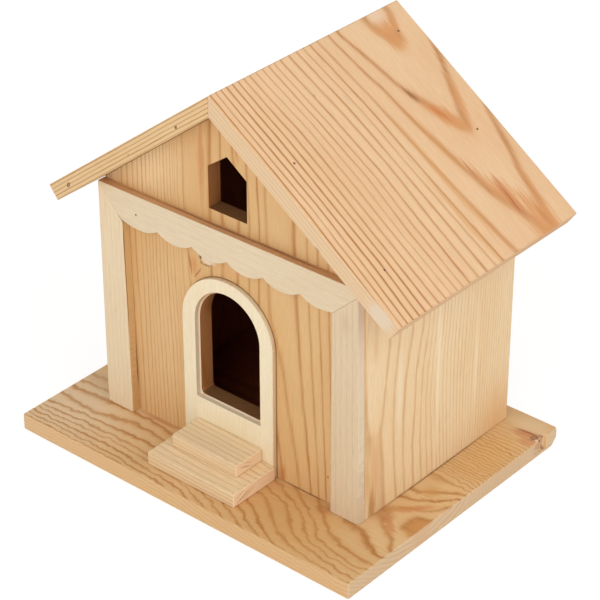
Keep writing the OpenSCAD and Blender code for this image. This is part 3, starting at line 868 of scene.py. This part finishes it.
# Base board: wavy rings, a V by the right end and the broken knot behind it
pine(
    "base_board", *lying("base_board"), BASE_CHART, BASE_WOOD,
    dip=0.25, bend=0.8, ripple=1.6, waves=5.5, streaks=5, seed=31, line_width=1.4, shade=True,
    strength=[(0, 0.85), (45, 0.85), (110, 0.8), (150, 0.7), (175, 0.5), (190, 0.1), (201, 0.1)],
    tints=[
        spot((30, 15), (70, 80), (228, 200, 162), 0.9, ragged=0.6, soft=0.9),
        spot((20, 190), (60, 80), (206, 156, 96), 0.6, ragged=0.6, soft=0.9),
        spot((155, 246), (44, 20), (224, 178, 112), 0.6, ragged=0.6, soft=0.9),
    ],
    spots=[
        spot((192, 246), (10, 20), (228, 200, 158), 0.6, ragged=0.8),
        spot((57, 243), (4, 13), (200, 136, 82), 0.75, ragged=1.4, soft=0.7, turn=43),
        spot((79, 244), (4, 17), (200, 136, 82), 0.75, ragged=1.4, soft=0.7, turn=-51),
        spot((60, 18), (14, 20), (206, 172, 138), 0.5, ragged=1),
        spot((98, 241), (9, 8), (204, 152, 94), 0.6, ragged=0.8),
        spot((66, 258), (11, 10), (204, 144, 80), 0.7, ragged=1.2, soft=0.6),
        spot((62, 238), (8, 5), (186, 124, 72), 0.5, ragged=1.2),
        spot((45, 205), (6, 9), (190, 128, 76), 0.6, ragged=1.2),
        spot((182, 249), (4.8, 12), KNOT_RED, 0.7, ragged=2, soft=0.6, turn=-6),
        spot((176, 254.5), (6.5, 8), (204, 138, 90), 0.65, ragged=2, soft=0.6, turn=-30),
        spot((184.6, 249), (1.3, 11), (150, 88, 52), 0.7, ragged=2.5, soft=0.7, turn=-8),
        spot((181.8, 255), (3.6, 3.6), KNOT_AND_SHADOW_BROWN, 0.75, ragged=1.4, soft=0.5),
        spot((182.2, 254.6), (1.8, 2), (186, 134, 92), 0.7, ragged=0.9, soft=0.5),
        spot((186.5, 257), (2, 2.2), (156, 100, 60), 0.7, ragged=1.2, soft=0.6),
        spot((181, 257.2), (0.9, 1.1), FADED, 0.9, soft=0.4),
        # painted shadow along the foot of the right wall
        spot((118, 229.8), (70, 0.6), CONTACT_SHADOW, 0.7, ragged=0.9, soft=0.6),
        spot((49.6, 71), (2.4, 24), (184, 120, 64), 0.6, ragged=0.9, soft=0.7),
        # painted shadows along the feet of parts that stand on the base
        spot((50.6, 183), (0.7, 24), CONTACT_SHADOW, 0.7, ragged=0.6, soft=0.6),
        spot((45.6, 37), (0.8, 12), CONTACT_SHADOW, 0.6, ragged=0.6, soft=0.6),
    ],
    faces=[face(-Y, (230, 194, 146), 0.6), face(X, (228, 206, 176), 0.6)],
    marks=on_face("end", X, [
        spot((183, -3.2), (7, 5), (198, 146, 100), 0.75, ragged=0.9, soft=0.5),
        spot((187.5, -1.2), (2, 1.6), (150, 96, 58), 0.75, ragged=0.9, soft=0.6),
        spot((186, -7.5), (3, 1.2), (156, 106, 66), 0.7, ragged=0.9, soft=0.6),
        spot((180.8, -0.3), (1, 0.6), FADED, soft=0.4),
        spot((183.5, -1.6), (1.1, 1.2), (52, 32, 22), 0.9, soft=0.4),
    ]),
)

# Lower step: pink end grain with three slanting checks
pine(
    "lower_step", *lying("lower_step"), 8, STEP_WOOD,
    dip=0.35, lean=0, bend=2.6, ripple=1.4, waves=1.5, seed=37, strength=0.5,
    faces=[face(X, END_PINK)],
    marks=on_face("end", X, [
        spot((8.7, -5.2), (9.3, 0.5), DARK_RESIN_AND_SHADOW, 0.75, soft=0.7, turn=23),
        spot((13, -5.4), (8, 0.4), DARK_RESIN_AND_SHADOW, 0.6, soft=0.7, turn=23),
        spot((5.2, -3), (5, 0.35), DARK_RESIN_AND_SHADOW, 0.5, soft=0.7, turn=23),
    ]),
)

# Upper step: the same wood, with two checks that slant the other way
pine(
    "upper_step", *lying("upper_step"), 6, STEP_WOOD,
    dip=0.35, lean=0, bend=2.6, ripple=1, waves=1, seed=41, strength=0.5,
    faces=[face(X, END_PINK)],
    marks=on_face("end", X, [
        spot((8.5, -4.8), (8.5, 0.45), DARK_RESIN_AND_SHADOW, 0.55, ragged=1.5, soft=0.7, turn=-19),
        spot((11, -3.2), (5, 0.35), DARK_RESIN_AND_SHADOW, 0.4, ragged=1.5, soft=0.7, turn=-19),
    ]),
)

# Left corner post: pale wood, and a yellow side with lines of painted shade at its front corner and where
# it meets the wall
pine(
    "left_corner_post", (-side_high.x, fascia_low.y, side_low.z), (X, Z, -Y), post_size, 6,
    TRIM_WOOD, seed=45, strength=0.3,
    faces=[face(X, (214, 170, 106), 0.75)],
    marks=on_face("edge", X, [
        # painted shade along the side's front corner
        spot((98, -0.6), (60, 0.6), DARK_RESIN_AND_SHADOW, 0.75, ragged=3, soft=0.7),
        # painted shadow in the gap where the post meets the wall
        spot((32, -5.6), (22, 0.6), KNOT_AND_SHADOW_BROWN, 0.75, ragged=2, soft=0.6),
    ]),
)

# Right corner post: the same wood a little duller
pine(
    "right_corner_post", (-post_high.x, fascia_low.y, side_low.z), (X, Z, -Y), post_size, 5,
    DULL_TRIM_WOOD, seed=49, strength=0.3,
    spots=[spot((10, 132), (5, 10), (204, 178, 144), 0.6, ragged=1.2, soft=0.9)],
    faces=[face(X, (224, 204, 176), 0.6)],
)

# Scalloped fascia: pale wood, with a top face of brown cut wood made darker by painted shade, and a
# painted shadow line along the top's back edge
pine(
    "scalloped_fascia", fascia_low, (Z, X, -Y), fascia_size, straight(fascia_size, 5, 2),
    FASCIA_WOOD, seed=53, strength=0.15,
    # brown cut face, partly darkened by painted shade
    faces=[face(Z, (196, 146, 98))],
    marks=on_face("edge", Z, [
        # painted shadow where the fascia's top meets the wall
        spot((100, -4.2), (112, 1.2), (124, 80, 46), ragged=2.5, soft=0.7),
    ]),
)

# Door surround: creamy board, with duller edges inside the arch and outside it
pine(
    "door_surround", surround_low, (X, Z, -Y), surround_size, 7,
    SURROUND_WOOD, seed=57, strength=0.1,
    spots=[spot((35, 14), (40, 24), (232, 212, 168), 0.5, ragged=0.4, soft=0.9)],
    faces=[
        face(X, (216, 194, 166), 0.6, between=(5, 60)),
        face(Z, (214, 194, 166), 0.6, between=(5, 61)),
        face(X, (224, 196, 162), 0.5, between=(61, 72)),
    ],
)

# Radius of the sanded edges in millimetres, other boards having the plain one
PLAIN_ROUNDING = 0.5
EDGE_ROUNDING = {"base_board": 1.0, "lower_step": 0.9, "upper_step": 0.9, "door_surround": 0.35,
                 "scalloped_fascia": 0.35, "left_corner_post": 0.4, "right_corner_post": 0.4}
SAME_CORNER = 0.01 * MM
FLAT_WITHIN = math.radians(0.5)
SHARP_FROM = math.radians(30)

for node, material in materials.items():
    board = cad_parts[node]
    board.data.materials.clear()
    board.data.materials.append(material)
    weld = board.modifiers.new("join corners", "WELD")
    weld.merge_threshold = SAME_CORNER
    flat = board.modifiers.new("one face a side", "DECIMATE")
    flat.decimate_type = "DISSOLVE"
    flat.angle_limit = FLAT_WITHIN
    rounded = board.modifiers.new("sanded edges", "BEVEL")
    rounded.width = EDGE_ROUNDING.get(node, PLAIN_ROUNDING) * MM
    rounded.segments = 3
    rounded.limit_method = "ANGLE"
    rounded.angle_limit = SHARP_FROM
    rounded.harden_normals = True


def surface(name, points, closed_round=True):
    """A mesh from a grid of points, rows by columns; each row is a closed ring if closed_round.

    Each face joins two neighbours in a row with the two beside them in the next row.
    """
    rows, columns = points.shape[:2]
    sides = columns if closed_round else columns - 1
    row, column = np.meshgrid(np.arange(rows - 1), np.arange(sides), indexing="ij")
    here = row * columns
    after = (column + 1) % columns
    corners = [here + column, here + after, here + columns + after, here + columns + column]
    faces = np.stack(corners, axis=-1).reshape(-1, 4)
    mesh = bpy.data.meshes.new(name)
    mesh.from_pydata(points.reshape(-1, 3).tolist(), [], faces.tolist())
    mesh.polygons.foreach_set("use_smooth", np.ones(len(mesh.polygons), bool))
    made = bpy.data.objects.new(name, mesh)
    scene.collection.objects.link(made)
    return made


# A nail head's outline: shares of its radius, and heights over the wood in millimetres
NAIL_REACH = (1.0, 1.0, 0.97, 0.88, 0.7, 0.4, 0.02)
NAIL_RISE = (-0.8, 0.0, 0.05, 0.08, 0.06, 0.07, 0.08)
NAIL_SIDES = 28


def nail_points(place, out, radius):
    """A nail head: rings round the nail's line, from under the wood up a small rim and over a
    shallow dome.

    Each point is the nail's place, plus its ring's share of the radius sideways at its angle, plus
    its ring's height along the line that leads out of the wood.
    """
    out = Vector(out).normalized()
    side = out.orthogonal().normalized()
    other = out.cross(side)
    angle = np.linspace(0, 2 * np.pi, NAIL_SIDES, endpoint=False)
    reach = radius * np.array(NAIL_REACH)
    rise = MM * np.array(NAIL_RISE)
    ring = np.cos(angle)[:, None] * np.array(side) + np.sin(angle)[:, None] * np.array(other)
    return np.array(place) + reach[:, None, None] * ring + rise[:, None, None] * np.array(out)


# Noise on nails and floor: waves a metre, detail, roughness
RUST = (1600.0, 3.0, 0.6)
SPECKLE = (900.0, 2.0, 0.5)


def nail_material():
    """Brown nail heads, with darker and rougher rust in patches."""
    material, w, shader = start_material("nail heads")
    place = w.node("ShaderNodeTexCoord").outputs["Object"]
    rust = w.spread(w.noise(place, *RUST), 0.4, 0.65)
    w.put(shader.inputs["Base Color"], w.blend(rust, srgb(118, 72, 40), srgb(74, 44, 28)))
    w.put(shader.inputs["Roughness"], w.spread(rust, 0.0, 1.0, 0.45, 0.8))
    shader.inputs["Metallic"].default_value = 0.1
    return material


nail_finish = nail_material()


def add_nail(name, place, out, radius):
    """Adds a nail head that sits on the wood and looks out of it."""
    made = surface(name, nail_points(place, out, radius))
    made.data.materials.append(nail_finish)
    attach(made, "root")


def on_roof(side, behind_front, up_from_eave):
    """A point on the top of a roof panel: back from the front of the eave, and up the slope."""
    slope, low = (up_right_slope, roof_high.x) if side > 0 else (up_left_slope, left_roof_low.x)
    pitch = RIGHT_PITCH if side > 0 else LEFT_PITCH
    eave = Vector((low, ROOF_FRONT_Y, RIDGE_Z - abs(low) * math.tan(pitch)))
    return eave + slope * up_from_eave + Y * behind_front


# Places of the roof nails in millimetres, behind the roof's front and up from the eave
ROOF_NAILS = [(19.4, 31.3), (18.1, 107.5), (145.9, 72.5), (148.3, 146.6)]
ROOF_NAIL_RADIUS = 0.7 * MM
FASCIA_NAIL_RADIUS = 0.6 * MM
for number, (behind, up) in enumerate(ROOF_NAILS, 1):
    behind, up = behind * MM, up * MM
    add_nail(f"right_roof_nail_{number}", on_roof(1, behind, up), out_of_right_slope, ROOF_NAIL_RADIUS)
    add_nail(f"left_roof_nail_{number}", on_roof(-1, behind, up), out_of_left_slope, ROOF_NAIL_RADIUS)

fascia_nail_place = (-69.3 * MM, fascia_low.y, side_low.z + 142.8 * MM)
add_nail("fascia_nail", fascia_nail_place, -Y, FASCIA_NAIL_RADIUS)

# Stage: a pale floor that shows white to the camera and keeps the shadow

FLOOR_HALF = 6.0
FLOOR_GLOW = 1.2
FLOOR_GLOW_SHARE = 0.6

# A level square: its two parameters are a point's places along X and Y
x, y = np.meshgrid([-FLOOR_HALF, FLOOR_HALF], [-FLOOR_HALF, FLOOR_HALF])
floor_points = np.stack([x, y, np.full_like(x, FLOOR_LEVEL)], axis=-1)
floor = surface("floor", floor_points, closed_round=False)
material, w, shader = start_material("pale floor")
speckle = w.noise(w.node("ShaderNodeTexCoord").outputs["Object"], *SPECKLE)
speckle = w.spread(speckle, 0.3, 0.7, 0.97, 1.0)
w.put(shader.inputs["Base Color"], w.join(speckle, speckle, speckle))
shader.inputs["Roughness"].default_value = 0.9
glow = w.node("ShaderNodeEmission")
glow.inputs["Strength"].default_value = FLOOR_GLOW
share = w.times(w.node("ShaderNodeLightPath").outputs["Is Camera Ray"], FLOOR_GLOW_SHARE)
mix = w.node("ShaderNodeMixShader", share, shader.outputs[0], glow.outputs[0])
w.put(w.tree.nodes["Material Output"].inputs[0], mix.outputs[0])
floor.data.materials.append(material)

# The room's light on the box, and the brighter white that is seen and mirrored
ROOM_LIGHT, ROOM_SEEN = 0.62, 1.0

world = bpy.data.worlds.new("studio")
scene.world = world
world.use_nodes = True
w = Wiring(world.node_tree)
background = world.node_tree.nodes["Background"]
rays = w.node("ShaderNodeLightPath").outputs
mirrored = w.maths("MAXIMUM", rays["Is Glossy Ray"], rays["Is Transmission Ray"])
seen = w.maths("MAXIMUM", rays["Is Camera Ray"], mirrored)
w.put(background.inputs["Strength"], w.spread(seen, 0.0, 1.0, ROOM_LIGHT, ROOM_SEEN))
background.inputs["Color"].default_value = (1, 1, 1, 1)


def way_to(azimuth, elevation):
    """The way from the box to a lamp or the camera, in degrees; azimuth 0 is before the doorway."""
    a, e = math.radians(azimuth), math.radians(elevation)
    return Vector((math.sin(a) * math.cos(e), -math.cos(a) * math.cos(e), math.sin(e)))


def add_softbox(name, azimuth, elevation, distance, size, watts):
    """A square lamp that looks at the middle of the box."""
    back = way_to(azimuth, elevation)
    light = bpy.data.lights.new(name, "AREA")
    light.shape = "SQUARE"
    light.size = size
    light.energy = watts
    lamp = bpy.data.objects.new(name, light)
    scene.collection.objects.link(lamp)
    lamp.location = (cad_low + cad_high) / 2 + back * distance
    lamp.rotation_euler = (-back).to_track_quat("-Z", "Y").to_euler()


add_softbox("key softbox", azimuth=12, elevation=26, distance=1.6, size=1.2, watts=9)
add_softbox("fill softbox", azimuth=88, elevation=34, distance=1.7, size=1.2, watts=8)

# Camera, solved from the corners of the box in the photograph

CAMERA_AZIMUTH = 40.479
CAMERA_ELEVATION = 31.53
CAMERA_ROLL = -0.077
CAMERA_DISTANCE = 1428.11 * MM
CAMERA_TARGET = Vector((-8.85, 20.75, 84.31)) * MM
CAMERA_LENS = 142.02
CAMERA_SENSOR = 36

back = way_to(CAMERA_AZIMUTH, CAMERA_ELEVATION)
camera_data = bpy.data.cameras.new("camera")
camera_data.lens = CAMERA_LENS
camera_data.sensor_width = CAMERA_SENSOR
camera = bpy.data.objects.new("camera", camera_data)
scene.collection.objects.link(camera)
camera.location = CAMERA_TARGET + back * CAMERA_DISTANCE
turn = (-back).to_track_quat("-Z", "Y").to_matrix().to_4x4()
camera.rotation_euler = (turn @ Matrix.Rotation(math.radians(CAMERA_ROLL), 4, "Z")).to_euler()
scene.camera = camera

scene.view_settings.view_transform = "Standard"
